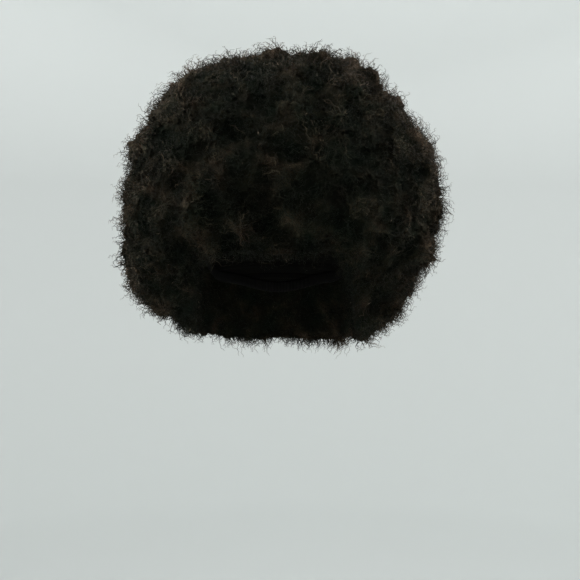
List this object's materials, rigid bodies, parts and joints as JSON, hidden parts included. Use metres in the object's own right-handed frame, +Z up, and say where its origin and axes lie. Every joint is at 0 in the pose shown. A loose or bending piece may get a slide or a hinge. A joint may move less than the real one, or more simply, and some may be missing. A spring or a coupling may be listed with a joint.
{
  "type": "afro wig",
  "caption": "Round afro wig: a thick mass of frizzy dark hair on a hollow net cap with a bound edge, open for the face and neck.",
  "frame": {"origin": "inside of the cap's crown, where the cap sits on the head", "axes": "+Z up; the face opening looks along -Y; +X is the wearer's left"},
  "size_m": [0.3264, 0.3392, 0.3238],
  "materials": {
    "cap_net": "dark brown-black knitted net with sewn weft rows",
    "binding": "black ribbed elastic tape",
    "frizzy_hair": "brown-black frizzy synthetic fibre with a soft sheen"
  },
  "bodies": {
    "root": {"cap": "cap_net", "edge_band": "binding", "hair": "frizzy_hair"}
  },
  "joints": []
}
